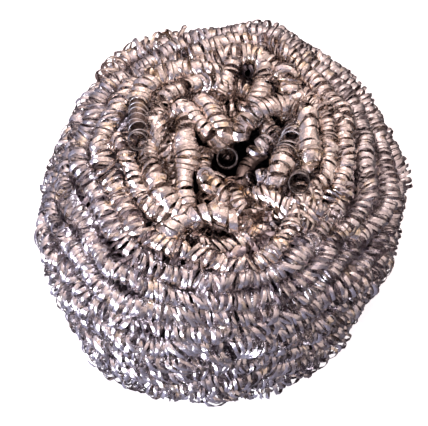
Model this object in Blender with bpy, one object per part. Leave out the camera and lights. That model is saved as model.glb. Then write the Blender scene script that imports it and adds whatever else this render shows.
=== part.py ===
"""Spiral metal scourer: a ball wound from one long coil of flat steel ribbon.

The ball is one solid. Its turns lie side by side from the foot to the crown as
one true spiral ridge, and looser lengths of the same coil cross the crown.
Lengths are in metres, +Z is up, and the origin is on the flat that it rests on.
"""

from math import cos, pi, sin

import bmesh
import bpy
import numpy as np
from mathutils import Vector

# The wound ball
WIDTH = 0.0790  # across the outermost turns, before the winding's own bulges
HEIGHT = 0.0615  # from the resting flat to the turns round the crown
SQUARENESS = 2.9  # 2 is an ellipse, more is a squarer shoulder
FOOT_PRESS = 0.0012  # how far the lowest turns are pressed flat
FOOT_TURNS = 1.5  # the winding starts this many turn widths from the middle of the foot

# The coil that it is wound from
COIL_DIAMETER = 0.0044  # across the small helix of ribbon
TURN_PITCH = 0.0046  # from one turn of the ball to the next, to the nearest whole turn
GROOVE = 0.0008  # how far the groove between two turns lies under their centre lines
RIBBON_WALL = 0.0003  # wall left round an open end
OPEN_END_LENGTH = 0.0050  # straight length of an open end
OPEN_END_FLOOR = 0.0010  # what stays solid behind its bore

# The crown
CROWN_RADIUS = 0.0230  # the ordered turns stop here
CROWN_SINK = 0.0034  # how far the middle lies below the turns round it
HOLLOW = 0.0045  # how much further the bed drops away between the loose strands
HOLLOW_SLOPE = 0.0040  # how wide the slope round that hollow is
STRAND_FOOT = 0.0024  # how far a loose strand's underside reaches down into the bed
STRAND_TAIL = 0.0040  # how much further a strand runs on where it dives into the hollow
PIT_TURNS = 1.3  # the winding ends this many turn widths from the middle of the crown

# How uneven the winding is
SWAY = 0.0013  # a turn wanders this far up and down
BULGE = 0.0008  # and this far in and out
LEAN = 0.046  # the ball is wider along one diagonal by this share

# How finely it is modelled
COLUMNS = 48
ROWS_PER_TURN = 4
STRAND_SIDES = 8
STRAND_STEP = 0.0030  # length of one piece of a loose strand

COIL_RADIUS = COIL_DIAMETER / 2
FOOT_RADIUS = FOOT_TURNS * TURN_PITCH
PIT_RADIUS = PIT_TURNS * TURN_PITCH
STEEL = (0.58, 0.54, 0.51, 1.0)

# Loose strands on the crown: x and y from the middle, and how far the strand's
# centre lies above the coil bed there, before the hollow. They are placed by eye, to
# half a millimetre, over a crown and a coil of these radii, and follow the real ones.
DRAWN_CROWN = 23.0
DRAWN_COIL = 2.2
STRANDS = {
    "upper_left": [
        (0, 18.5, 0.5), (-6.5, 18.5, 1.5), (-13, 16.5, 2), (-16.5, 12.5, 2), (-17, 8, 2), (-17, 3, 3),
    ],
    "inner_left": [
        (0, 15.5, 0), (-6, 15, 1.5), (-10.5, 12, 1), (-13, 6, 1), (-12.5, 2.5, 1), (-11, -1, -1.5),
    ],
    "middle_barrel": [(-8.5, 11.5, -0.5), (-7.5, 6, 1.5), (-7, -1, 2.5), (-7.5, -8, 2), (-6.5, -14, 1)],
    "shiny_left": [(-9.5, 9, 0), (-6.5, 8.5, 2), (-3.5, 4.5, 2), (-1.5, 3, 0)],
    "rear_middle": [(-4, 12.5, 0), (-1.5, 7.5, 2), (0.5, 4, 2), (1, 2.5, 1)],
    "turned_fan": [(3, 4, 0), (5, 6, 2), (7.5, 10.5, -0.5)],
    "rear_bar": [(8.5, 23, 0), (8.5, 15, 1.5), (7.5, 12, 1.5), (4.5, 9, -1)],
    "rear_knuckle": [(14, 24, 0), (13.5, 15.5, 1.5), (16.5, 11.5, 0)],
    "back_left": [(2.5, 21, 0), (0.5, 14.5, 1.5), (-1, 12, 0.5)],
    "right_arch": [
        (6.5, 9.5, -0.5), (11.5, 10, 2), (16.5, 8, 1.5), (18, 2.5, 2), (18, -3, 2), (17.5, -5, 0.5),
    ],
    "right_barrel": [(15.5, 5, -1), (13.5, -1, 2), (12, -5, 2), (10, -10.5, 0)],
    "striped_upper": [(6, -1, 0), (8, 0, 2), (10, 3, 0)],
    "striped_lower": [(5.5, -6.5, -1.5), (8, -7, 1.5), (11.5, -8.5, -0.5)],
    "golden_coil": [(5, -15.5, -0.5), (3.5, -12, 0.5), (3, -8, -1.5)],
    "right_ring": [
        (19, 10.5, 0), (21.5, 6.5, 1), (22, 0.5, 1.5), (21.5, -5, 1), (18.5, -10, 1), (14, -13.5, 0.5),
    ],
    "front_left_barrel": [(-15, 1.5, -1), (-14, -6, 1.5), (-11, -12.5, 2), (-6, -16, 0.5)],
    "wide_fan": [(-10, -17.5, 0.5), (-4, -15.5, 1.5), (1.5, -16.5, 1), (4, -16.5, 0)],
    "centre_lump": [(-3.5, -1, -0.5), (-3.5, -6, 1), (-2.5, -11.5, 1), (1, -14.5, 0.5)],
    "centre_flakes": [(-1.5, -4, -0.5), (-0.5, -9, 1), (2, -13, 0)],
    "front_bed": [(6, -10, -0.5), (10.5, -12, 1.5), (17, -17, 0)],
    "open_middle": [(1.5, -3.5, -9), (1.5, -3.5, 0)],
    "open_right": [(19.5, -1, -8), (17, -5, -0.5)],
}
# The coil's loose ends lie open. Each points its own way from its strand's last point.
OPEN_ENDS = {
    "upper_left": (0.0, -0.88, 0.47),
    "open_middle": (-0.02, -0.08, 1.0),
    "open_right": (-0.35, -0.75, 0.66),
}
# These rise straight out of the bed, so their undersides do not reach down.
UPRIGHT = ("open_middle", "open_right")


def clear_scene():
    for obj in list(bpy.data.objects):
        bpy.data.objects.remove(obj, do_unlink=True)


def meridian():
    """The ball's half outline at the coil bed: arc length, radius and height, from foot to pit."""
    half_width = WIDTH / 2 - COIL_RADIUS
    half_height = (HEIGHT + FOOT_PRESS) / 2 - COIL_RADIUS
    middle = HEIGHT - COIL_RADIUS - half_height
    angles = np.linspace(-pi / 2, pi / 2, 2001)
    radius = half_width * np.abs(np.cos(angles)) ** (2 / SQUARENESS)
    rise = np.sign(np.sin(angles)) * np.abs(np.sin(angles)) ** (2 / SQUARENESS)
    height = middle + half_height * rise
    inner = np.clip(1 - radius / CROWN_RADIUS, 0, 1) * (height > middle)
    height = height - CROWN_SINK * np.sin(inner * pi / 2)
    length = np.concatenate([[0], np.cumsum(np.hypot(np.diff(radius), np.diff(height)))])
    return length, radius, height


MERIDIAN = meridian()
OUTLINE = float(MERIDIAN[0][-1])
TURNS = round((OUTLINE - PIT_RADIUS - FOOT_RADIUS) / TURN_PITCH) - 1
PITCH = (OUTLINE - PIT_RADIUS - FOOT_RADIUS) / (TURNS + 1)


def bed_point(s):
    """Radius, height and outward slope of the coil bed, at arc length s from the foot's centre."""
    length, radius, height = MERIDIAN
    step = OUTLINE / 400
    r0, r1 = np.interp([s - step, s + step], length, radius)
    z0, z1 = np.interp([s - step, s + step], length, height)
    run = max(float(np.hypot(r1 - r0, z1 - z0)), 1e-9)
    normal = ((z1 - z0) / run, -(r1 - r0) / run)
    return float(np.interp(s, length, radius)), float(np.interp(s, length, height)), normal


def crown_height(x, y):
    """Height of the coil bed over a point of the crown."""
    length, radius, height = MERIDIAN
    upper = slice(len(radius) // 2, None)
    return float(np.interp(-np.hypot(x, y), -radius[upper], height[upper]))


def hollow(radius, height):
    """How far the bed has dropped under the loose strands, at this place on the outline."""
    if height < HEIGHT / 2:
        return 0.0
    return HOLLOW * float(np.clip((CROWN_RADIUS - radius) / HOLLOW_SLOPE, 0, 1))


def fade(s, turns):
    """0 at the foot's disc and the pit's floor, and 1 from this many turns away."""
    foot = (s - FOOT_RADIUS) / PITCH - 1
    crown = (OUTLINE - PIT_RADIUS - s) / PITCH - 1
    return float(np.clip(foot / turns, 0, 1) * np.clip(crown / turns, 0, 1))


def sway(s, turn):
    """How far the winding wanders along the outline, at this height and direction."""
    rows = s / PITCH
    waves = sin(2 * turn + 0.6 + 0.36 * rows) + 0.6 * sin(3 * turn - 1.1 - 0.5 * rows)
    return SWAY * fade(s, 2.5) * (waves + 0.5 * sin(7 * turn + 0.42 * rows))


def bulge(s, turn):
    """How far it bulges outwards there."""
    rows = s / PITCH
    waves = sin(3 * turn + 1.9 + 0.46 * rows) + 0.7 * sin(5 * turn - 0.66 * rows)
    return BULGE * fade(s, 2.5) * (waves + 0.6 * sin(9 * turn + 0.4 + 0.92 * rows))


def lean(turn):
    """The ball is a little longer along one diagonal."""
    return 1 + LEAN * cos(2 * turn - 1.7) + 0.12 * LEAN * cos(3 * turn - 0.5)


def winding_point(s, turn, share):
    """A point on the ridge: share 0 is the groove between two turns, 0.5 is the crest."""
    s = s + sway(s, turn)
    radius, height, normal = bed_point(s)
    ridge = sin(pi * (share % 1.0)) ** 0.5
    flat = 1 - fade(s, 0.7)
    crest = 1.0 if s < OUTLINE / 2 else 0.3
    rise = (COIL_RADIUS + GROOVE) * ridge - GROOVE
    lift = rise * (1 - flat) + COIL_RADIUS * crest * flat + bulge(s, turn)
    out = (radius + normal[0] * lift) * (1 + (lean(turn) - 1) * fade(s, 2.5))
    up = max(height + normal[1] * lift - hollow(radius, height), 0.0)
    if flat > 0.999:
        up = 0.0 if s < OUTLINE / 2 else crown_height(PIT_RADIUS, 0) - HOLLOW
    return Vector((out * cos(turn), out * sin(turn), up))


def wound_ball():
    """The ridge as one spiral grid: a column's last row joins the next turn's first."""
    mesh = bmesh.new()
    rows = ROWS_PER_TURN * TURNS + 1
    grid = []
    for row in range(rows):
        line = []
        for column in range(COLUMNS):
            share = row / ROWS_PER_TURN
            s = FOOT_RADIUS + PITCH * (share + column / COLUMNS)
            line.append(mesh.verts.new(winding_point(s, 2 * pi * column / COLUMNS, share)))
        grid.append(line)
    for row in range(rows - 1):
        for column in range(COLUMNS):
            wraps = column == COLUMNS - 1
            if wraps and row + 1 + ROWS_PER_TURN > rows - 1:
                continue
            near = grid[row + ROWS_PER_TURN][0] if wraps else grid[row][column + 1]
            far = grid[row + 1 + ROWS_PER_TURN][0] if wraps else grid[row + 1][column + 1]
            mesh.faces.new((grid[row][column], near, far, grid[row + 1][column]))
    foot = grid[0] + [grid[row][0] for row in range(ROWS_PER_TURN, 0, -1)]
    mesh.faces.new(foot)
    last = rows - 1
    pit = grid[last] + [grid[last - step][-1] for step in range(1, ROWS_PER_TURN + 1)]
    mesh.faces.new(pit)
    bmesh.ops.recalc_face_normals(mesh, faces=mesh.faces)
    return mesh_object("wound_coil", mesh)


def mesh_object(name, mesh):
    data = bpy.data.meshes.new(name)
    mesh.to_mesh(data)
    mesh.free()
    obj = bpy.data.objects.new(name, data)
    bpy.context.scene.collection.objects.link(obj)
    return obj


def smooth_path(points, step):
    """Evenly spaced points on a smooth curve through the given ones."""
    points = [points[0] * 2 - points[1]] + points + [points[-1] * 2 - points[-2]]
    fine = []
    for a, b, c, d in zip(points, points[1:], points[2:], points[3:]):
        square = 2 * a - 5 * b + 4 * c - d
        cube = 3 * b - a - 3 * c + d
        for part in range(20):
            t = part / 20
            fine.append(0.5 * (2 * b + (c - a) * t + square * t**2 + cube * t**3))
    fine.append(points[-2])
    lengths = np.concatenate([[0], np.cumsum([(q - p).length for p, q in zip(fine, fine[1:])])])
    count = max(2, round(lengths[-1] / step))
    places = np.linspace(0, lengths[-1], count + 1)
    table = np.array(fine)
    columns = [np.interp(places, lengths, table[:, axis]) for axis in range(3)]
    return [Vector(place) for place in np.array(columns).T]


def dive(inner, outer):
    """A strand's end, carried on past its last point and down into the hollow."""
    way = Vector((outer.x - inner.x, outer.y - inner.y, 0)).normalized()
    return outer + way * STRAND_TAIL - Vector((0, 0, HOLLOW))


def strand_path(name):
    points = []
    for x, y, lift in STRANDS[name]:
        across = CROWN_RADIUS / DRAWN_CROWN
        place = Vector((x * across, y * across, lift * COIL_RADIUS / DRAWN_COIL))
        place.z += crown_height(place.x, place.y)
        points.append(place)
    if name not in UPRIGHT:
        points.insert(0, dive(points[1], points[0]))
    if name in OPEN_ENDS:
        mouth = points[-1] + OPEN_END_LENGTH * Vector(OPEN_ENDS[name]).normalized()
        return smooth_path(points, STRAND_STEP) + [mouth]
    return smooth_path(points + [dive(points[-2], points[-1])], STRAND_STEP)


def tube(name, path, radius, sides, foot=0.0, round_rings=0):
    """A closed tube along a path, without twist. Its underside can be an upright-sided foot
    that reaches further down, apart from the last few rings, which stay round."""
    mesh = bmesh.new()
    upright = abs((path[1] - path[0]).normalized().z) > 0.99
    side = Vector((0, 1, 0)) if upright else Vector((0, 0, 1))
    rings = []
    for index, place in enumerate(path):
        along = path[min(index + 1, len(path) - 1)] - path[max(index - 1, 0)]
        if foot > 0:
            side = Vector((0, 0, 1))
        side = (side - side.project(along)).normalized()
        other = along.cross(side).normalized()
        ring = []
        for corner in range(sides):
            up, across = cos(2 * pi * corner / sides), sin(2 * pi * corner / sides)
            if foot > 0 and up < -0.3 and index < len(path) - round_rings:
                lowest = place + radius * round(across) * other - Vector((0, 0, radius + foot))
                ring.append(mesh.verts.new(lowest))
            else:
                ring.append(mesh.verts.new(place + radius * (up * side + across * other)))
        rings.append(ring)
    for first, second in zip(rings, rings[1:]):
        for corner in range(sides):
            after = (corner + 1) % sides
            mesh.faces.new((first[corner], first[after], second[after], second[corner]))
    mesh.faces.new(rings[0])
    mesh.faces.new(rings[-1])
    bmesh.ops.recalc_face_normals(mesh, faces=mesh.faces)
    return mesh_object(name, mesh)


def make_helper(obj):
    obj.hide_render = True
    obj.display_type = "WIRE"


def cut(obj, cutter):
    make_helper(cutter)
    modifier = obj.modifiers.new(cutter.name, "BOOLEAN")
    modifier.operation = "DIFFERENCE"
    modifier.solver = "EXACT"
    modifier.object = cutter


def join_all(obj, others, name):
    """Joins the others to the object in one step."""
    group = bpy.data.collections.new(name)
    bpy.context.scene.collection.children.link(group)
    for other in others:
        make_helper(other)
        group.objects.link(other)
        bpy.context.scene.collection.objects.unlink(other)
    modifier = obj.modifiers.new(name, "BOOLEAN")
    modifier.operation = "UNION"
    modifier.solver = "EXACT"
    modifier.operand_type = "COLLECTION"
    modifier.collection = group


def mouth_cutter(name):
    """The round space inside an open end."""
    path = strand_path(name)
    axis = (path[-1] - path[-2]).normalized()
    depth = OPEN_END_LENGTH - OPEN_END_FLOOR
    bore = [path[-1] - axis * depth, path[-1] + axis * COIL_RADIUS]
    return tube("mouth_" + name, bore, COIL_RADIUS - RIBBON_WALL, STRAND_SIDES)


def add_crown(ball):
    strands = []
    for name in STRANDS:
        foot = 0.0 if name in UPRIGHT else STRAND_FOOT + HOLLOW
        ends = 2 if name in OPEN_ENDS else 0
        strand = tube("strand_" + name, strand_path(name), COIL_RADIUS, STRAND_SIDES, foot, ends)
        if name in OPEN_ENDS:
            cut(strand, mouth_cutter(name))
        strands.append(strand)
    join_all(ball, strands, "crown_strands")


def steel():
    material = bpy.data.materials.new("ribbon_steel")
    material.use_nodes = True
    shader = material.node_tree.nodes["Principled BSDF"]
    shader.inputs["Base Color"].default_value = STEEL
    shader.inputs["Metallic"].default_value = 1.0
    shader.inputs["Roughness"].default_value = 0.3
    return material


def main():
    clear_scene()
    ball = wound_ball()
    ball.data.materials.append(steel())
    add_crown(ball)
    ball.data.shade_smooth()
    ball.data.set_sharp_from_angle(angle=1.2)


main()
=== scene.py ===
from math import cos, pi, radians, sin

import bpy
import numpy as np
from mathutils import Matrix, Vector


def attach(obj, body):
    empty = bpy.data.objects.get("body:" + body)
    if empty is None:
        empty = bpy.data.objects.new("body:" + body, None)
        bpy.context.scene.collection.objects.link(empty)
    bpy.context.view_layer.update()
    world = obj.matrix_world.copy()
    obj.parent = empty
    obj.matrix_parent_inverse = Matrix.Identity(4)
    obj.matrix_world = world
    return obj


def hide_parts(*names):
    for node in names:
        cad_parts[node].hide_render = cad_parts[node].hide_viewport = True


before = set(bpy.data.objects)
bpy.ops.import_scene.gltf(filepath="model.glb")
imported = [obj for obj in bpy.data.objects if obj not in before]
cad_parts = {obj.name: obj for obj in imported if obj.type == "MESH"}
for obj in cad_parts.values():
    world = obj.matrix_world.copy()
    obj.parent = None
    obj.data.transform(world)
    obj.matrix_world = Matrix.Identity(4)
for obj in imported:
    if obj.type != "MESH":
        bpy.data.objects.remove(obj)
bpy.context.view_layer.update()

# Lengths are in millimetres, in the part's own frame, where nothing else is said.
MM = 0.001

# The ball that the coil is wound into: the part's own sizes, as in part.py
WIDTH, HEIGHT, SQUARENESS, FOOT_PRESS = 79.0, 61.5, 2.9, 1.2
COIL_RADIUS, TURN_PITCH = 2.2, 4.6
FOOT_START, PIT_END = 1.5 * TURN_PITCH, 1.3 * TURN_PITCH
CROWN_RADIUS, CROWN_SINK, HOLLOW, HOLLOW_SLOPE = 23.0, 3.4, 4.5, 4.0
STRAND_TAIL = 4.0
SWAY, BULGE, LEAN = 1.3, 0.8, 0.046
FADE_ROWS = 2.5

# The tip of the rows is the scene's own. Below the crown they ride up at the front
# and hang lower all round the rest, so they cross the solid's level ones. It starts
# at this row, counted from the foot, and is full this many rows below it. From the
# foot it grows in the same way, after these rows and this much faster.
TIP, TIP_START, TIP_ROWS = 7.0, 18.5, 8.0
TIP_FOOT_START, TIP_FOOT_SPEED = 2, 1.3

# How a coil's centre line is drawn: its points in each turn of the ball, the length
# between the knots of its wander along and across the outline, and its least height
# over the floor as a share of its radius. Near the axis a row counts as this far out.
PATH_POINTS, ALONG_KNOT, ACROSS_KNOT, LEAST_HEIGHT, LEAST_REACH = 400, 9.0, 7.0, 0.86, 3

# The ribbon and one small turn's length along the coil, then the ribbon seen as wire
RIBBON_WIDTH, RIBBON_DEPTH, RIBBON_PITCH = 0.80, 0.15, 1.15
WIRE_WIDTH, WIRE_DEPTH, RIM_PITCH, RIM_DEPTH = 0.30, 0.20, 0.3, 0.22

# How far the small turns of a coil of looseness 1 stray, as shares of what they
# are or, for OFFSET, in millimetres. Drift runs on from turn to turn, jitter does not.
SPACING, GIRTH, SQUASH, OFFSET, WIDTH_SPREAD = 0.22, 0.06, 0.08, 0.24, 0.10
TILT_DRIFT, SIDE_TILT_DRIFT, TILT_JITTER = 0.26, 0.30, 0.20
# The slant that all turns share, then the ribbon's roll about itself and that roll's
# spread, both in radians
SLANT, ROLL, ROLL_SPREAD = 0.10, 0.12, 0.40

# The winding's looseness: what it has everywhere, and what is added low at the front left
CALM, TOUSLE, TOUSLED_SIDE = 0.71, 0.38, (-0.80, -0.60)

# The photograph's size and the pixel that the camera aims at, then the camera:
# its rise over the horizon, its distance from its aim and a pixel's size there.
PHOTO_WIDTH, PHOTO_HEIGHT = 428, 426
AIM_X, AIM_Y, AIM_HEIGHT = 221.2, 211.0, 31.0
CAMERA_RISE, CAMERA_DISTANCE, PIXEL = 61.5, 420.0, 0.216
TO_CAMERA = np.array((0.0, -cos(radians(CAMERA_RISE)), sin(radians(CAMERA_RISE))))
CAMERA_UP = np.array((0.0, sin(radians(CAMERA_RISE)), cos(radians(CAMERA_RISE))))
PROJECTION_STEPS = 30


def meridian():
    """The ball's half outline at the coil bed: arc length, radius and height, from foot to pit."""
    half_width = WIDTH / 2 - COIL_RADIUS
    half_height = (HEIGHT + FOOT_PRESS) / 2 - COIL_RADIUS
    middle = HEIGHT - COIL_RADIUS - half_height
    angles = np.linspace(-pi / 2, pi / 2, 2001)
    radius = half_width * np.abs(np.cos(angles)) ** (2 / SQUARENESS)
    rise = np.sign(np.sin(angles)) * np.abs(np.sin(angles)) ** (2 / SQUARENESS)
    height = middle + half_height * rise
    inner = np.clip(1 - radius / CROWN_RADIUS, 0, 1) * (height > middle)
    height = height - CROWN_SINK * np.sin(inner * pi / 2)
    length = np.concatenate([[0], np.cumsum(np.hypot(np.diff(radius), np.diff(height)))])
    return length, radius, height


MERIDIAN = meridian()
OUTLINE = float(MERIDIAN[0][-1])
TURNS = round((OUTLINE - PIT_END - FOOT_START) / TURN_PITCH) - 1
PITCH = (OUTLINE - PIT_END - FOOT_START) / (TURNS + 1)


def bed(s):
    """Radius, height and outward normal of the coil bed at arc lengths s from the foot."""
    length, radius, height = MERIDIAN
    step = OUTLINE / 400
    r0, r1 = np.interp(s - step, length, radius), np.interp(s + step, length, radius)
    z0, z1 = np.interp(s - step, length, height), np.interp(s + step, length, height)
    run = np.maximum(np.hypot(r1 - r0, z1 - z0), 1e-9)
    bed_radius, bed_height = np.interp(s, length, radius), np.interp(s, length, height)
    return bed_radius, bed_height, (z1 - z0) / run, -(r1 - r0) / run


def crown_height(x, y):
    """Height of the coil bed over a point of the ball's upper half, before the hollow."""
    length, radius, height = MERIDIAN
    upper = slice(len(radius) // 2, None)
    return np.interp(-np.hypot(x, y), -radius[upper], height[upper])


def from_photo(readings):
    """Where pixels of the photograph lie on the crown, to a tenth of a millimetre.

    A reading is a pixel's column and row and a lift over the coil bed, all three
    read or judged. It comes back as x, y and the same lift.
    """
    eye = TO_CAMERA * CAMERA_DISTANCE + (0, 0, AIM_HEIGHT)
    places = []
    for column, row, lift in readings:
        across, down = (column - AIM_X) * PIXEL, (row - AIM_Y) * PIXEL
        ray = np.array((across, 0, 0)) - CAMERA_UP * down - TO_CAMERA * CAMERA_DISTANCE
        height = HEIGHT
        for _ in range(PROJECTION_STEPS):
            spot = eye + ray * (height - eye[2]) / ray[2]
            height = float(crown_height(spot[0], spot[1])) + lift
        places.append((round(float(spot[0]), 1), round(float(spot[1]), 1), lift))
    return places


def hollow(radius, height):
    """How far the ordered turns have dropped under the loose strands."""
    return HOLLOW * np.clip((CROWN_RADIUS - radius) / HOLLOW_SLOPE, 0, 1) * (height > HEIGHT / 2)


def fade(s):
    """Share of the waves below that is left near the foot and the crown, where they die away."""
    foot = (s - FOOT_START) / PITCH - 1
    crown = (OUTLINE - PIT_END - s) / PITCH - 1
    return np.clip(foot / FADE_ROWS, 0, 1) * np.clip(crown / FADE_ROWS, 0, 1)


def sway(s, turn):
    """How far a row wanders up and down the outline."""
    rows = s / PITCH
    waves = np.sin(2 * turn + 0.6 + 0.36 * rows) + 0.6 * np.sin(3 * turn - 1.1 - 0.5 * rows)
    return SWAY * fade(s) * (waves + 0.5 * np.sin(7 * turn + 0.42 * rows))


def tip(s, turn):
    """How far up or down the outline the tip moves a row."""
    front = np.clip(-np.sin(turn), 0, 1) ** 2
    from_crown = np.clip((TIP_START - s / PITCH) / TIP_ROWS, 0, 1)
    from_foot = np.clip((s / PITCH - TIP_FOOT_START) / TIP_ROWS * TIP_FOOT_SPEED, 0, 1)
    return TIP * (front - 0.5) * from_crown * from_foot


def bulge(s, turn):
    """How far a row wanders in and out."""
    rows = s / PITCH
    waves = np.sin(3 * turn + 1.9 + 0.46 * rows) + 0.7 * np.sin(5 * turn - 0.66 * rows)
    return BULGE * fade(s) * (waves + 0.6 * np.sin(9 * turn + 0.4 + 0.92 * rows))


def lean(turn):
    """The ball's reach this way, as a share of its reach on average."""
    return 1 + LEAN * np.cos(2 * turn - 1.7) + 0.12 * LEAN * np.cos(3 * turn - 0.5)


def unit(v):
    """The rows of v, each at length one."""
    return v / np.maximum(np.linalg.norm(v, axis=1, keepdims=True), 1e-12)


def arc_lengths(path):
    """How far along a path each of its points lies."""
    return np.concatenate([[0], np.cumsum(np.linalg.norm(np.diff(path, axis=0), axis=1))])


def at_places(places, lengths, values):
    """Rows of three values, such as a path's points, at these distances along the path."""
    return np.stack([np.interp(places, lengths, values[:, i]) for i in range(3)], 1)


def between(a, b, c, d, share):
    """A smooth curve through four knots, at this share of the way from the second to the third."""
    square = 2 * a - 5 * b + 4 * c - d
    cube = 3 * b - a - 3 * c + d
    return 0.5 * (2 * b + (c - a) * share + square * share**2 + cube * share**3)


def smooth_noise(rng, lengths, knot, size):
    """A smooth random curve over these lengths, with a knot about every so many mm."""
    count = max(4, int(lengths[-1] / knot) + 4)
    values = rng.standard_normal(count) * size
    place = lengths / lengths[-1] * (count - 4) + 1
    k = np.floor(place).astype(int)
    following, last = np.minimum(k + 1, count - 1), np.minimum(k + 2, count - 1)
    return between(values[k - 1], values[k], values[following], values[last], place - k)


def winding_path(start, end, depth=0.0, shift=0.0, wander=0.4, seed=0):
    """The coil's own centre line from one turn of the ball to another, and the outward normal."""
    rng = np.random.default_rng(seed)
    t = np.linspace(start, end, int((end - start) * PATH_POINTS) + 2)
    turn = 2 * pi * t
    s = FOOT_START + PITCH * (t + 0.5 + shift)
    ring = np.interp(s[:-1], MERIDIAN[0], MERIDIAN[1]).clip(LEAST_REACH)
    lengths = np.concatenate([[0], np.cumsum(np.diff(t) * 2 * pi * ring)])
    s = s + sway(s, turn) + tip(s, turn) + smooth_noise(rng, lengths, ALONG_KNOT, wander)
    radius, height, nr, nz = bed(s)
    lift = bulge(s, turn) + smooth_noise(rng, lengths, ACROSS_KNOT, 0.8 * wander) - depth
    share = 1 + (lean(turn) - 1) * fade(s)
    out = (radius + nr * lift) * share
    up = height + nz * lift - hollow(radius, height)
    up = np.maximum(up, COIL_RADIUS * LEAST_HEIGHT)
    path = np.stack([out * np.cos(turn), out * np.sin(turn), up], 1)
    normal = np.stack([nr * np.cos(turn), nr * np.sin(turn), nz], 1)
    return path, normal


def along(spec, x):
    """A value that may change along a strand: a number, or pairs of share and value."""
    if isinstance(spec, (int, float)):
        return np.full_like(x, float(spec))
    return np.interp(x, [p[0] for p in spec], [p[1] for p in spec])


def correlated(rng, count, keep):
    """Random numbers of unit spread in which each one remembers the last."""
    raw = rng.standard_normal(count)
    out = np.empty(count)
    out[0] = raw[0]
    for k in range(1, count):
        out[k] = keep * out[k - 1] + (1 - keep * keep) ** 0.5 * raw[k]
    return out


def ribbon_coil(
    path,
    normal,
    seed,
    radius=COIL_RADIUS,
    pitch=RIBBON_PITCH,
    width=RIBBON_WIDTH,
    thick=RIBBON_DEPTH,
    segments=14,
    loose=1.0,
    crumpled=0.0,
):
    """Corner points (rings of four) of a helix of flat ribbon wound round a centre line.

    Each small turn has its own size, place, tilt and twist, and the ribbon runs
    smoothly from one to the next. loose says how much the turns differ, and
    crumpled how much the ribbon's twist flickers within each of them. thick is
    the ribbon's depth at its middle.
    """
    rng = np.random.default_rng(seed)
    lengths = arc_lengths(path)
    total = lengths[-1]
    tangent = unit(np.gradient(path, axis=0))
    probe = np.linspace(0, 1, 400)
    mean_pitch = float(np.mean(1.0 / along(pitch, probe))) ** -1
    count = max(3, int(total / mean_pitch))
    turns = count + 2
    x = (np.arange(turns) + 0.5) / turns
    if callable(loose):
        loose = loose(at_places(x * total, lengths, path))
    loose = np.broadcast_to(loose, turns)

    def drift(size, keep):
        """Strays of each turn that keep this much of the turn before's."""
        return size * loose * correlated(rng, turns, keep)

    def jitter(size):
        """Strays of each turn by itself."""
        return size * loose * rng.standard_normal(turns)

    advance = along(pitch, x) * np.exp(drift(SPACING, keep=0.7))
    advance = advance * (1 + jitter(SPACING)).clip(0.35, 1.9)
    at = np.concatenate([[0], np.cumsum(advance)])[:turns]
    at = at / at[count] * total
    share = np.clip(at / total, 0, 1)
    size = along(radius, share) * (1 + drift(GIRTH, keep=0.8) + jitter(GIRTH))
    flat = drift(SQUASH, keep=0.85)
    off_n = jitter(OFFSET)
    off_b = jitter(OFFSET)
    tilt_n = SLANT + drift(TILT_DRIFT, keep=0.85) + jitter(TILT_JITTER)
    tilt_b = drift(SIDE_TILT_DRIFT, keep=0.8) + jitter(TILT_JITTER)
    twist = ROLL + drift(ROLL_SPREAD, keep=0.45)
    wide = along(width, share) * (1 + jitter(WIDTH_SPREAD)).clip(0.7, 1.25)
    deep = along(thick, share)

    u = np.arange(count * segments + 1) / segments
    k = np.minimum(np.floor(u).astype(int), count)
    f = u - k
    ease = f * f * (3 - 2 * f)

    def blend(values, weight=ease):
        return values[k] * (1 - weight) + values[k + 1] * weight

    place = np.clip(blend(at, f), 0, total)
    centre = at_places(place, lengths, path)
    axis = unit(at_places(place, lengths, tangent))
    out = at_places(place, lengths, normal)
    out = unit(out - axis * (out * axis).sum(1, keepdims=True))
    side = np.cross(axis, out)
    angle = 2 * pi * u
    c, s = np.cos(angle)[:, None], np.sin(angle)[:, None]
    big, squash = blend(size)[:, None], blend(flat)[:, None]
    point = (
        centre
        + out * (blend(off_n)[:, None] + big * (1 + squash) * c)
        + side * (blend(off_b)[:, None] + big * (1 - squash) * s)
        + axis * (big * (blend(tilt_n)[:, None] * c + blend(tilt_b)[:, None] * s))
    )
    along_ribbon = unit(np.gradient(point, axis=0))
    away = c * out + s * side
    away = unit(away - along_ribbon * (away * along_ribbon).sum(1, keepdims=True))
    across = np.cross(along_ribbon, away)
    turned = (blend(twist) + crumpled * blend(loose**3) * rng.standard_normal(len(u)))[:, None]
    edge = np.cos(turned) * across + np.sin(turned) * away
    face = np.cos(turned) * away - np.sin(turned) * across
    half = 0.5 * blend(wide)[:, None] * edge
    rise = 0.5 * blend(deep)[:, None] * face
    rings = np.stack([point - half, point + rise, point + half, point - rise], 1)
    rings[:, :, 2] = np.maximum(rings[:, :, 2], 0.0)
    return rings


def unrest(points):
    """How uneven the winding is: calm on the crown and to the right, tousled low at the front left."""
    facing = unit(points[:, :2]) @ np.array(TOUSLED_SIDE)
    side = np.clip(0.5 + 0.7 * facing, 0.0, 1.0)
    low = np.clip(2.2 - points[:, 2] / 35.0, 0.0, 1.1)
    return CALM + TOUSLE * side * low


def piece_of(name, mesh, material):
    """A piece of this mesh and material that rides the part."""
    mesh.materials.append(material)
    obj = bpy.data.objects.new(name, mesh)
    bpy.context.scene.collection.objects.link(obj)
    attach(obj, "root")
    return obj


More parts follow.
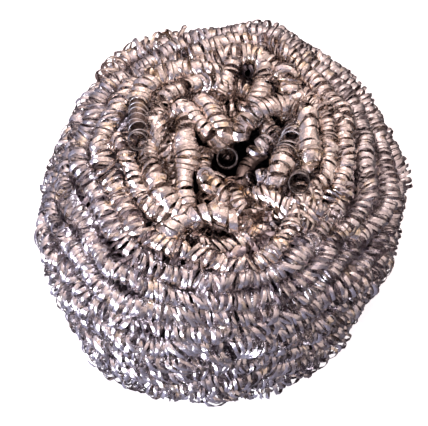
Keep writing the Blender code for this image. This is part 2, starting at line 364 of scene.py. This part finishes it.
def ribbon_object(name, coils, material):
    """One mesh object from several ribbons, each a closed strip with sharp long edges."""
    corners, faces, base = [], [], 0
    for rings in coils:
        n = len(rings)
        corners.append(rings.reshape(-1, 3))
        start = base + 4 * np.arange(n - 1)[:, None]
        for a, b in ((0, 1), (1, 2), (2, 3), (3, 0)):
            faces.append(np.concatenate([start + a, start + b, start + 4 + b, start + 4 + a], 1))
        ring = np.arange(4)
        faces.append(np.array([base + ring[::-1], base + 4 * (n - 1) + ring]))
        base += 4 * n
    points = np.concatenate(corners) * MM
    quads = np.concatenate(faces)
    mesh = bpy.data.meshes.new(name)
    mesh.vertices.add(len(points))
    mesh.vertices.foreach_set("co", points.astype(np.float32).ravel())
    mesh.loops.add(4 * len(quads))
    mesh.loops.foreach_set("vertex_index", quads.astype(np.int32).ravel())
    mesh.polygons.add(len(quads))
    mesh.polygons.foreach_set("loop_start", (4 * np.arange(len(quads))).astype(np.int32))
    mesh.update(calc_edges=True)
    mesh.shade_smooth()
    ends = np.empty(2 * len(mesh.edges), np.int32)
    mesh.edges.foreach_get("vertices", ends)
    ends = ends.reshape(-1, 2)
    rim = (ends[:, 0] % 4 == ends[:, 1] % 4) & (ends[:, 0] % 2 == 0)
    mesh.edges.foreach_set("use_edge_sharp", rim)
    return piece_of(name, mesh, material)


def smooth_path(points, step=0.4, parts=24):
    """A smooth line through these points, with a point of its own about every step mm."""
    points = [np.array(p, float) for p in points]
    points = [points[0] * 2 - points[1]] + points + [points[-1] * 2 - points[-2]]
    fine = []
    for a, b, c, d in zip(points, points[1:], points[2:], points[3:]):
        fine += [between(a, b, c, d, part / parts) for part in range(parts)]
    fine.append(points[-2])
    fine = np.array(fine)
    lengths = arc_lengths(fine)
    places = np.linspace(0, lengths[-1], max(3, int(lengths[-1] / step)))
    return at_places(places, lengths, fine)


def carried_normals(path, first=(0.0, 0.0, 1.0)):
    """Normals carried along a path without twist."""
    tangent = unit(np.gradient(path, axis=0))
    side = np.array(first, float)
    out = []
    for t in tangent:
        side = side - t * side.dot(t)
        side = side / max(np.linalg.norm(side), 1e-9)
        out.append(side)
    return np.array(out)


# Grain of the steel's noises, in cells per metre, and its patches of tint: where
# each lies on the noise and its share of the base colour. The patches differ at
# random; the last, yellow one is a painted golden reflection.
TINT_GRAIN, GLOSS_GRAIN, CREASE_GRAIN, SCRATCH_GRAIN = 260.0, 900.0, 900.0, 2600.0
SCRATCH_DEPTH, SCRATCH_STRENGTH = 0.03, 0.25
# A steel's glossiest and dullest patches, as shares of its roughness
GLOSSIEST, DULLEST = 0.65, 1.5
TINTS_AND_GOLDEN_SHEEN = (
    (0.32, (0.84, 0.80, 0.78)),
    (0.50, (1.00, 0.97, 0.96)),
    (0.60, (1.04, 1.02, 1.00)),
    (0.66, (1.08, 0.98, 0.80)),
)


def noise(tree, where, scale, detail):
    """A noise over these coordinates, as an output socket."""
    texture = tree.nodes.new("ShaderNodeTexNoise")
    texture.inputs["Scale"].default_value = scale
    texture.inputs["Detail"].default_value = detail
    tree.links.new(where, texture.inputs["Vector"])
    return texture.outputs["Fac"]


def ranged(tree, value, from_min, from_max, to_min, to_max):
    """A value moved from one range to another, as an output socket."""
    spread = tree.nodes.new("ShaderNodeMapRange")
    spread.inputs["From Min"].default_value = from_min
    spread.inputs["From Max"].default_value = from_max
    spread.inputs["To Min"].default_value = to_min
    spread.inputs["To Max"].default_value = to_max
    tree.links.new(value, spread.inputs["Value"])
    return spread.outputs["Result"]


def steel(name, base, roughness, crumple=0.3):
    """Rolled steel: fine scratches, creases, patchy gloss and slight changes of tint, the yellowest of
    them a painted golden reflection.
    """
    material = bpy.data.materials.new(name)
    material.use_nodes = True
    tree = material.node_tree
    shader = tree.nodes["Principled BSDF"]
    shader.inputs["Metallic"].default_value = 1.0
    where = tree.nodes.new("ShaderNodeTexCoord").outputs["Object"]
    ramp = tree.nodes.new("ShaderNodeValToRGB")
    while len(ramp.color_ramp.elements) < len(TINTS_AND_GOLDEN_SHEEN):
        ramp.color_ramp.elements.new(0.5)
    for stop, (place, tint) in zip(ramp.color_ramp.elements, TINTS_AND_GOLDEN_SHEEN):
        stop.position = place
        stop.color = (*(min(1.0, part * share) for part, share in zip(base, tint)), 1)
    tree.links.new(noise(tree, where, TINT_GRAIN, 3.0), ramp.inputs["Fac"])
    tree.links.new(ramp.outputs["Color"], shader.inputs["Base Color"])
    patches = noise(tree, where, GLOSS_GRAIN, 2.0)
    gloss = ranged(tree, patches, 0.3, 0.7, roughness * GLOSSIEST, roughness * DULLEST)
    tree.links.new(gloss, shader.inputs["Roughness"])
    crease = tree.nodes.new("ShaderNodeBump")
    crease.inputs["Strength"].default_value = 1.0
    crease.inputs["Distance"].default_value = crumple * MM
    tree.links.new(noise(tree, where, CREASE_GRAIN, 2.0), crease.inputs["Height"])
    scratch = tree.nodes.new("ShaderNodeBump")
    scratch.inputs["Strength"].default_value = SCRATCH_STRENGTH
    scratch.inputs["Distance"].default_value = SCRATCH_DEPTH * MM
    tree.links.new(noise(tree, where, SCRATCH_GRAIN, 2.0), scratch.inputs["Height"])
    tree.links.new(crease.outputs["Normal"], scratch.inputs["Normal"])
    tree.links.new(scratch.outputs["Normal"], shader.inputs["Normal"])
    return material


def core_steel():
    """The heart's steel is dull and all but black, since hardly any light reaches it."""
    material = steel("core_steel", (0.06, 0.046, 0.042), 0.8)
    shader = material.node_tree.nodes["Principled BSDF"]
    shader.inputs["Metallic"].default_value = 0.0
    shader.inputs["Specular IOR Level"].default_value = 0.1
    return material


# The turns of the ball at which the ordered winding gives way to the loose strands,
# and at which the turns under it pass into the dark bed under those strands
CROWN_EDGE, INNER_EDGE = 19.6, 18.2

# The winding's pieces, with the turns of the ball that each one holds
WINDING = {
    "winding_foot": (-0.8, 6.0),
    "winding_lower": (6.0, 9.5),
    "winding_middle": (9.5, 13.0),
    "winding_shoulder": (13.0, 16.0),
    "winding_crown": (16.0, CROWN_EDGE),
}
# What sets all of them but the crown's apart: a thinner, closer and crumpled coil
TOUSLED_COIL = dict(radius=2.05, width=0.78, pitch=1.12, crumpled=0.2)

# Loose strands on the crown, the part's own and a few finer ones. What is seen is a
# list of readings off the photograph: column, row and lift over the bed. The one
# that is placed has x, y and lift instead. A size may change along its strand.
STRANDS = {
    "upper_left": dict(
        seen=[
            (222, 74, 0.4), (206, 71, 1.2), (190, 70, 1.6), (173, 72, 1.8), (158, 77, 1.8),
            (146, 86, 1.8), (140, 96, 1.8), (138.8, 104, 1.8),
        ],
        radius=[(0, 2.0), (1, 2.15)], width=0.9, dives=(True, False),
    ),
    "inner_left": dict(
        seen=[
            (222, 86, 0), (208, 83, 1), (193, 84, 1.4), (179, 89, 1.4), (167, 98, 1.2),
            (158, 110, 1.2), (155, 124, 1), (160, 138, 1), (165, 150, 0.2), (168, 160, -1.6),
        ],
        radius=1.9,
    ),
    "middle_barrel": dict(
        seen=[
            (181, 104, -0.6), (184, 117, 1.2), (185, 132, 2), (186, 148, 2.2), (187, 160, 2.4),
            (185, 172, 2), (184.5, 185, 2), (186, 197, 1.6), (190, 209, 0.8),
        ],
        radius=[(0, 2.0), (0.42, 2.05), (0.5, 2.7), (0.57, 2.6), (0.62, 1.75), (1, 1.75)],
        loose=0.75, width=0.98, pitch=1.1,
    ),
    "shiny_left": dict(
        seen=[
            (174, 114, 0), (182, 109, 1.4), (191, 112, 1.8), (198, 121, 1.8), (204, 130, 1.8),
            (209, 136, 1.4), (214, 141, 0),
        ],
        radius=1.85, pitch=[(0, 1.2), (0.6, 1.2), (0.7, 1.8), (1, 1.8)],
        width=[(0, 1.0), (0.6, 1.0), (0.7, 1.6), (1, 1.5)], loose=0.6,
    ),
    "rear_middle": dict(
        seen=[
            (203, 100, -0.2), (209, 107, 1.2), (215, 115, 1.9), (220, 123, 2.1), (224, 131, 1.9),
            (227, 140, 0.8),
        ],
        radius=1.9, width=1.05, loose=0.8, dives=(True, False),
    ),
    "turned_fan": dict(
        seen=[
            (235, 134, -0.2), (240, 129, 1.8), (246, 121, 2.2), (252, 114, 1.4), (257, 109, -0.4),
        ],
        radius=2.1, pitch=2.45, width=1.7, loose=0.5,
    ),
    "rear_bar": dict(
        seen=[
            (262, 58, 0.2), (263, 72, 1.4), (263, 84, 1.6), (258, 96, 1.6), (250, 107, 0.8),
            (243, 117, -0.8),
        ],
        radius=[(0, 2.1), (1, 1.9)], width=0.95, pitch=1.3,
    ),
    "rear_knuckle": dict(
        seen=[
            (288, 60, -0.2), (286, 72, 1.2), (286, 83, 1.4), (292, 94, 0.8), (300, 103, 0),
        ],
        radius=2.0, width=0.9,
    ),
    "back_left": dict(
        seen=[
            (232, 64, 0), (228, 76, 1.2), (224, 88, 1.4), (216, 99, 0.6),
        ],
        radius=1.9,
    ),
    "right_arch": dict(
        seen=[
            (252, 113, -0.4), (264, 108, 1.4), (278, 104, 1.8), (291, 106, 1.8), (301, 112, 1.4),
            (306, 119, 0.2),
        ],
        radius=2.05, loose=0.75, width=1.0,
    ),
    "smooth_barrel": dict(
        seen=[
            (303, 114, 0.2), (307, 123, 1.6), (309, 135, 2), (309.5, 147, 2), (309, 158, 1.8),
            (308.5, 167, 1),
        ],
        radius=[(0, 1.5), (0.25, 2.0), (0.4, 1.7), (0.55, 2.4), (0.68, 2.1), (0.85, 2.6), (1, 1.2)],
        pitch=1.15, width=1.45, loose=0.9, dives=(True, False),
    ),
    "right_barrel": dict(
        seen=[
            (285, 153, -1.6), (283, 160, 0.6), (280, 168, 1.8), (277, 177, 2), (274, 186, 1.4),
            (271, 196, 0),
        ],
        radius=[(0, 2.5), (0.5, 2.45), (0.6, 2.1), (1, 2.1)],
        pitch=[(0, 1.5), (0.5, 1.8), (1, 1.7)],
        width=[(0, 0.5), (0.3, 0.8), (0.5, 1.5), (1, 1.4)], loose=0.6,
    ),
    "striped_upper": dict(
        seen=[
            (252, 156, 0.2), (255, 152.5, 1.2), (259, 148, 1.8), (264, 144, 1.6), (270, 139, 0.2),
        ],
        radius=1.8, width=1.0, pitch=1.9, loose=0.6, dives=(False, True),
    ),
    "striped_lower": dict(
        seen=[
            (248, 183, -1.4), (253, 179, 1), (261, 178, 1.6), (270, 181, 1), (279, 188, -0.6),
        ],
        radius=1.9, width=1.0, pitch=1.6, loose=0.6,
    ),
    "golden_coil": dict(
        seen=[
            (244, 217, -0.4), (240, 209, 0.4), (236.5, 201, 0.8), (234, 194, 0.6), (233, 188, -0.6),
        ],
        radius=1.6, loose=0.9, pitch=1.1,
    ),
    "right_ring": dict(
        seen=[
            (314, 106, 0.2), (321, 113, 0.8), (327, 124, 1.2), (330, 138, 1.4), (330.5, 152, 1.4),
            (328, 166, 1.2), (322, 180, 1.2), (313, 191, 1.2), (302, 200, 1), (290, 207, 0.4),
        ],
        radius=1.65,
    ),
    "outer_ring": dict(
        seen=[
            (331, 112, 0.2), (339, 124, 0.6), (345, 138, 0.9), (348, 154, 0.9), (345, 171, 0.9),
            (338, 187, 0.9), (328, 201, 0.9), (315, 213, 0.7), (300, 222, 0.3),
        ],
        radius=1.7,
    ),
    "front_left_barrel": dict(
        seen=[
            (149, 148, -1.2), (149, 160, 0.8), (152, 172, 1.6), (158, 186, 2), (167, 200, 2),
            (177, 211, 1.4), (190, 219, 0.4),
        ],
        radius=2.4, loose=0.75, width=1.0,
    ),
    "wide_fan": dict(
        seen=[
            (172, 226, 0.4), (186, 218, 1.2), (200, 213, 1.6), (214, 214, 1.4), (228, 219, 0.8),
            (242, 222, 0),
        ],
        radius=2.2, pitch=1.9, width=1.6, loose=0.8,
    ),
    "centre_lump": dict(
        seen=[
            (204, 157, -0.4), (204, 166, 0.8), (204, 176, 1.2), (205, 187, 1.2), (209, 198, 1),
            (217, 206, 0.8), (226, 212, 0.3),
        ],
        radius=1.5, width=1.0, pitch=1.1, loose=1.3,
    ),
    "centre_flakes": dict(
        seen=[
            (212, 178, -0.8), (214, 184, 0.6), (218, 188, 1), (223, 198, 0.8), (230, 206, 0.2),
        ],
        radius=1.5, width=0.95, pitch=1.1, loose=1.6,
    ),
    "front_bed": dict(
        seen=[
            (250, 196, -0.4), (262, 196, 1), (274, 199, 1.4), (285, 207, 1.2), (296, 216, 0.8),
            (306, 226, 0.2),
        ],
        radius=1.7, loose=0.9,
    ),
    "low_right": dict(
        seen=[
            (303, 200, -0.6), (309, 205, 0.8), (316, 209, 1), (326, 216, 0.6), (337, 221, 0.2),
        ],
        radius=1.9,
    ),
    "left_row": dict(
        seen=[
            (120, 146, 0.2), (127, 160, 0.8), (132, 176, 1), (140, 192, 1), (151, 206, 0.8),
            (164, 217, 0.4),
        ],
        radius=1.9,
    ),
    "shoulder_loop": dict(
        placed=[
            (-24.5, 21.5, 0.3), (-21.8, 26, 1.6), (-17.5, 29.7, 2), (-12.6, 31.5, 1.6), (-8, 33, 0.3),
        ],
        radius=2.2, loose=1.2, dives=(False, False),
    ),
}

# Stretches that are pulled out or end open, so that their ribbon shows as thin wire.
WIRES = {
    "open_left": dict(
        seen=[
            (139, 103, 1.8), (138.6, 110, 2), (138.2, 119, 2.4), (137.9, 129, 3.2), (137.6, 136, 4),
            (137.5, 140.5, 4.8),
        ],
        radius=[(0, 2.2), (1, 2.0)], pitch=[(0, 1.5), (0.6, 1.2), (0.75, 2.2), (1, 2.2)],
        loose=0.6, mouth=(-0.03, -0.80, 0.60),
    ),
    "open_middle": dict(
        seen=[
            (227.6, 160, -6), (227.4, 159.3, -2.5), (227.2, 158.5, 1), (227.2, 158, 4),
        ],
        radius=1.98, pitch=2.4, mouth=(0.0, -0.48, 0.88), rim=0.3,
    ),
    "open_right": dict(
        seen=[
            (301, 176, -4), (300.5, 178, -1), (299.6, 180.5, 1.6), (299, 183, 4),
        ],
        radius=2.05, pitch=1.5, mouth=(-0.02, -0.52, 0.85), rim=0.4,
    ),
    "wire_fan": dict(
        seen=[
            (247, 121, 1.4), (251, 117, 1.6), (254, 114, 1.2), (257, 111, 0.2),
        ],
        radius=2.35, pitch=1.0, loose=0.6, dives=(False, True),
    ),
    "loop_fan": dict(
        seen=[
            (295, 136, -0.8), (292, 144, 0.2), (288, 152, 1.2), (284, 160, 2.2),
        ],
        radius=2.6, pitch=1.5, loose=0.9, dives=(True, False),
    ),
}

# Strands in darker, bluer steel, which is painted shade and painted cool reflection; they glint only
# here and there
SHADED = ("striped_upper", "striped_lower")

# Coils in the bed's darker steel, which is painted shade: one fills the pulled-out
# stretch on the left, and one is seen in the shade beside the middle open end.
FILLINGS = {
    "left": [(141, 98, 0.8), (139, 108, 1.4), (138.5, 118, 2.0), (138, 127, 2.6)],
    "middle": [(242, 186, -2), (243, 176, -1.6), (246, 167, -1.6), (253, 160, -1.6), (262, 154, -1.6)],
}

# The random draws of each kind of coil start from these seeds and count up.
PATH_SEED, WINDING_SEED, STRAND_SEED, WIRE_SEED = 100, 200, 300, 400
INNER_PATH_SEED, INNER_SEED, FILLING_SEED, BED_PATH_SEED, BED_SEED = 50, 51, 52, 53, 54

# The heart: how deep the feet of its ridges lie, how high they are, how many turns
# short of the foot and the crown it stops, and its share of the crown's hollow
CORE_DEPTH, CORE_RIDGE, CORE_MARGIN, CORE_HOLLOW = 7.4, 1.2, 2.0, 0.6
CORE_COLUMNS, CORE_ROWS_PER_TURN = 72, 4


def dive(inner, outer):
    """A strand's end, carried on past its last point and down into the hollow."""
    way = np.array(outer) - np.array(inner)
    way[2] = 0
    return tuple(np.array(outer) + way / np.linalg.norm(way) * STRAND_TAIL - (0, 0, HOLLOW))


def strand_path(points, dives):
    """A strand's centre line. Where one of its ends dives, it goes down into the hollow."""
    points = [(x, y, float(crown_height(x, y)) + lift) for x, y, lift in points]
    if dives[0]:
        points.insert(0, dive(points[1], points[0]))
    if dives[1]:
        points.append(dive(points[-2], points[-1]))
    path = smooth_path(points)
    heading = path[1] - path[0]
    upright = abs(heading[2]) > np.hypot(heading[0], heading[1])
    return path, carried_normals(path, (1.0, 0.0, 0.0) if upright else (0.0, 0.0, 1.0))


def strand_coil(name, seed):
    """A loose strand as a coil of ribbon."""
    spec = dict(STRANDS[name])
    points = from_photo(spec.pop("seen")) if "seen" in spec else spec.pop("placed")
    path, normal = strand_path(points, spec.pop("dives", (True, True)))
    return ribbon_coil(path, normal, seed, segments=16, **spec)


def wire_coils(name, seed):
    """A stretch seen as thin wire, with the closed ring of its mouth where it ends open."""
    spec = dict(WIRES[name])
    mouth = spec.pop("mouth", None)
    rim_length = spec.pop("rim", 0.6)
    points = from_photo(spec.pop("seen"))
    path, normal = strand_path(points, spec.pop("dives", (mouth is not None, False)))
    wire = dict(width=WIRE_WIDTH, thick=WIRE_DEPTH, loose=spec.pop("loose", 0.35))
    coils = [ribbon_coil(path, normal, seed, segments=20, **wire, **spec)]
    if mouth is not None:
        way = np.array(mouth) / np.linalg.norm(mouth)
        rim = path[-1] + way * np.linspace(0.0, rim_length, 6)[:, None]
        size = float(along(spec["radius"], np.ones(1))[0])
        upward = carried_normals(rim, (0.0, 0.5, 1.0))
        ring = dict(radius=size, pitch=RIM_PITCH, width=WIRE_WIDTH, thick=RIM_DEPTH, loose=0.12)
        coils.append(ribbon_coil(rim, upward, seed + 1, segments=32, **ring))
    return coils


def core_object(material):
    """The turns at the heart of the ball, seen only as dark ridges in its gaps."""
    rows = int((TURNS - CORE_MARGIN - CORE_MARGIN) * CORE_ROWS_PER_TURN) + 1
    share = CORE_MARGIN + np.arange(rows) / CORE_ROWS_PER_TURN
    t = (share[:, None] + np.arange(CORE_COLUMNS + 1)[None, :] / CORE_COLUMNS).ravel()
    s = FOOT_START + PITCH * t
    radius, height, nr, nz = bed(s)
    lift = CORE_RIDGE * np.abs(np.sin(pi * t)) - CORE_DEPTH
    out = (radius + nr * lift).clip(0.5)
    up = height + nz * lift - CORE_HOLLOW * hollow(radius, height)
    turn = 2 * pi * t
    points = np.stack([out * np.cos(turn), out * np.sin(turn), up], 1) * MM
    grid = np.arange(rows * (CORE_COLUMNS + 1)).reshape(rows, CORE_COLUMNS + 1)
    quads = np.stack([grid[:-1, :-1], grid[:-1, 1:], grid[1:, 1:], grid[1:, :-1]], 2).reshape(-1, 4)
    foot = [(column + 1, column, len(points)) for column in range(CORE_COLUMNS)]
    points = np.append(points, [[0, 0, up[0] * MM]], 0)
    mesh = bpy.data.meshes.new("core_turns")
    mesh.from_pydata(points.tolist(), [], quads.tolist() + foot)
    mesh.shade_smooth()
    piece_of("core_turns", mesh, material)


def build_winding(bright):
    """The ordered rows from the foot to the crown. They stand in for the solid, which is hidden."""
    # The lower winding's steel is a darker, lilac copy of the ribbon steel: painted shade and painted
    # cool reflection.
    tousled = steel("tousled_steel_painted_shade", (0.64, 0.61, 0.63), 0.25, crumple=0.12)
    for index, (name, (start, end)) in enumerate(WINDING.items()):
        path, normal = winding_path(start, end, seed=PATH_SEED + index)
        own, material = ({}, bright) if name == "winding_crown" else (TOUSLED_COIL, tousled)
        coil = ribbon_coil(path, normal, WINDING_SEED + index, loose=unrest, **own)
        ribbon_object(name, [coil], material)
    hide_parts("wound_coil")


def build_crown(bright):
    """The loose strands, the ones of them in the shade, and the open and pulled-out ends."""
    # Darker, bluer copy of the steel for the strands in the shade: painted shade and painted cool
    # reflection.
    painted_shade_glossy = steel("painted_shade_blue_steel", (0.66, 0.66, 0.72), 0.12)
    # The open ends' steel is a darker grey copy of the ribbon steel: painted shade, so the rings and
    # wires look dim.
    wire = steel("wire_steel_painted_shade", (0.45, 0.44, 0.46), 0.24, crumple=0.1)
    strands = {name: strand_coil(name, STRAND_SEED + index) for index, name in enumerate(STRANDS)}
    shaded = [strands.pop(name) for name in SHADED]
    ribbon_object("crown_strands", list(strands.values()), bright)
    ribbon_object("shaded_strands", shaded, painted_shade_glossy)
    wires = []
    for index, name in enumerate(WIRES):
        wires += wire_coils(name, WIRE_SEED + 2 * index)
    ribbon_object("open_ends", wires, wire)


def build_inside():
    """The turns behind the winding, the dark bed under the loose strands, and the heart, each in a
    darker copy of the steel that is painted shade.
    """
    # The turns behind the winding are a darker, lilac copy of the steel: painted shade in the grooves
    # and painted cool reflection.
    shade = steel("inner_steel_painted_shade", (0.50, 0.455, 0.50), 0.30)
    path, normal = winding_path(1.0, INNER_EDGE, depth=3.8, shift=0.5, wander=0.8, seed=INNER_PATH_SEED)
    inner = ribbon_coil(path, normal, INNER_SEED, segments=8, pitch=1.5, width=1.0, loose=1.2)
    ribbon_object("inner_turns", [inner], shade)
    # The bed under the loose strands is a dark copy of the steel: painted shade in the crown's hollow.
    dim = steel("bed_steel_painted_shade", (0.28, 0.23, 0.215), 0.34)
    last = TURNS - 1.0
    path, normal = winding_path(INNER_EDGE, last, depth=4.2, shift=0.5, wander=0.8, seed=BED_PATH_SEED)
    coils = [ribbon_coil(path, normal, BED_SEED, segments=8, pitch=1.6, width=1.1, loose=1.2)]
    for readings in FILLINGS.values():
        path, normal = strand_path(from_photo(readings), (True, False))
        coils.append(ribbon_coil(path, normal, FILLING_SEED, radius=1.4, width=1.25, loose=0.4))
    ribbon_object("crown_bed", coils, dim)
    core_object(core_steel())


# The studio, in metres: half the floor's width, how far it lies under the ball, and
# the height on the ball's axis that the lights face
FLOOR_HALF, FLOOR_DROP, LIGHT_AIM = 1.5, 0.0002, 0.03
# The sky's patches: their grain, and how dim and how bright they get
SKY_GRAIN, SKY_DIM, SKY_BRIGHT = 3.5, 0.60, 1.45


def add_floor():
    """A wide sheet of pale paper just under the ball. The steel doesn't mirror it."""
    mesh = bpy.data.meshes.new("floor")
    half = FLOOR_HALF
    corners = [(-half, -half, 0), (half, -half, 0), (half, half, 0), (-half, half, 0)]
    mesh.from_pydata(corners, [], [(0, 1, 2, 3)])
    obj = bpy.data.objects.new("floor", mesh)
    obj.location.z = -FLOOR_DROP
    bpy.context.scene.collection.objects.link(obj)
    material = bpy.data.materials.new("floor_paper")
    material.use_nodes = True
    shader = material.node_tree.nodes["Principled BSDF"]
    shader.inputs["Base Color"].default_value = (0.92, 0.90, 0.91, 1)
    shader.inputs["Roughness"].default_value = 0.9
    shader.inputs["Specular IOR Level"].default_value = 0.1
    shader.inputs["Emission Color"].default_value = (1.0, 0.985, 0.99, 1)
    shader.inputs["Emission Strength"].default_value = 0.55
    mesh.materials.append(material)
    obj.visible_glossy = False


def add_light(name, direction, distance, size, watts, colour):
    """A soft round light, this many metres wide and away, that faces the ball."""
    data = bpy.data.lights.new(name, "AREA")
    data.shape = "DISK"
    data.size = size
    data.energy = watts
    data.color = colour
    obj = bpy.data.objects.new(name, data)
    way = Vector(direction).normalized()
    obj.location = Vector((0, 0, LIGHT_AIM)) + way * distance
    obj.rotation_euler = way.to_track_quat("Z", "Y").to_euler()
    bpy.context.scene.collection.objects.link(obj)


def sky_glow(tree, where, direction, stops):
    """Light from a soft, patchy gradient along this direction, as an output socket."""
    facing = tree.nodes.new("ShaderNodeVectorMath")
    facing.operation = "DOT_PRODUCT"
    facing.inputs[1].default_value = Vector(direction).normalized()
    tree.links.new(where, facing.inputs[0])
    ramp = tree.nodes.new("ShaderNodeValToRGB")
    elements = ramp.color_ramp.elements
    elements[0].position, elements[0].color = stops[0][0], (*stops[0][1], 1)
    elements[1].position, elements[1].color = stops[-1][0], (*stops[-1][1], 1)
    for place, colour in stops[1:-1]:
        elements.new(place).color = (*colour, 1)
    tree.links.new(ranged(tree, facing.outputs["Value"], -1.0, 1.0, 0.0, 1.0), ramp.inputs["Fac"])
    glow = tree.nodes.new("ShaderNodeBackground")
    patches = noise(tree, where, SKY_GRAIN, 1.0)
    strength = ranged(tree, patches, 0.35, 0.65, SKY_DIM, SKY_BRIGHT)
    tree.links.new(strength, glow.inputs["Strength"])
    tree.links.new(ramp.outputs["Color"], glow.inputs["Color"])
    return glow.outputs["Background"]


# What the steel mirrors: a warm room above and behind, a cool window low at the front
# left. Each is a direction and the glow along it, from its far side to its near one.
WARM_WAY, COOL_WAY = (0.14, 0.39, 0.91), (-0.78, -0.60, -0.18)
WARM_STOPS = (
    (0.0, (0.14, 0.13, 0.15)),
    (0.34, (0.07, 0.06, 0.065)),
    (0.62, (0.18, 0.155, 0.155)),
    (0.76, (0.60, 0.48, 0.45)),
    (0.88, (1.08, 0.865, 0.80)),
    (1.0, (1.18, 0.95, 0.88)),
)
COOL_STOPS = (
    (0.0, (0.0, 0.0, 0.0)),
    (0.42, (0.07, 0.06, 0.075)),
    (0.72, (0.22, 0.22, 0.31)),
    (1.0, (0.38, 0.40, 0.60)),
)


def add_world():
    """A soft studio: the two glows added together."""
    world = bpy.data.worlds.new("studio")
    bpy.context.scene.world = world
    world.use_nodes = True
    tree = world.node_tree
    tree.nodes.remove(tree.nodes["Background"])
    where = tree.nodes.new("ShaderNodeTexCoord").outputs["Generated"]
    both = tree.nodes.new("ShaderNodeAddShader")
    tree.links.new(sky_glow(tree, where, WARM_WAY, WARM_STOPS), both.inputs[0])
    tree.links.new(sky_glow(tree, where, COOL_WAY, COOL_STOPS), both.inputs[1])
    tree.links.new(both.outputs["Shader"], tree.nodes["World Output"].inputs["Surface"])


def add_camera():
    """A camera at the photograph's viewing angle."""
    data = bpy.data.cameras.new("camera")
    data.lens = data.sensor_width * CAMERA_DISTANCE / (PHOTO_WIDTH * PIXEL)
    data.shift_x = (PHOTO_WIDTH / 2 - AIM_X) / PHOTO_WIDTH
    data.shift_y = (AIM_Y - PHOTO_HEIGHT / 2) / PHOTO_WIDTH
    obj = bpy.data.objects.new("camera", data)
    way = Vector(TO_CAMERA)
    obj.location = (Vector((0, 0, AIM_HEIGHT)) + way * CAMERA_DISTANCE) * MM
    obj.rotation_euler = way.to_track_quat("Z", "Y").to_euler()
    bpy.context.scene.collection.objects.link(obj)
    bpy.context.scene.camera = obj


ribbon_steel = steel("ribbon_steel", (0.77, 0.71, 0.68), 0.16, crumple=0.22)
build_winding(ribbon_steel)
build_crown(ribbon_steel)
build_inside()
add_floor()
add_world()
daylight, lamplight = (0.90, 0.92, 1.0), (1.0, 0.87, 0.82)
add_light("key", (-0.82, -0.50, 0.27), distance=0.65, size=0.42, watts=3.4, colour=daylight)
add_light("window", (-0.58, -0.80, 0.10), distance=0.65, size=0.36, watts=3.9, colour=daylight)
add_light("top", (0.05, 0.45, 0.90), distance=0.80, size=0.50, watts=0.8, colour=lamplight)
add_light("fill", (0.93, -0.28, 0.24), distance=0.65, size=0.60, watts=0.50, colour=(1.0, 0.83, 0.74))
add_camera()
bpy.context.scene.view_settings.view_transform = "Standard"
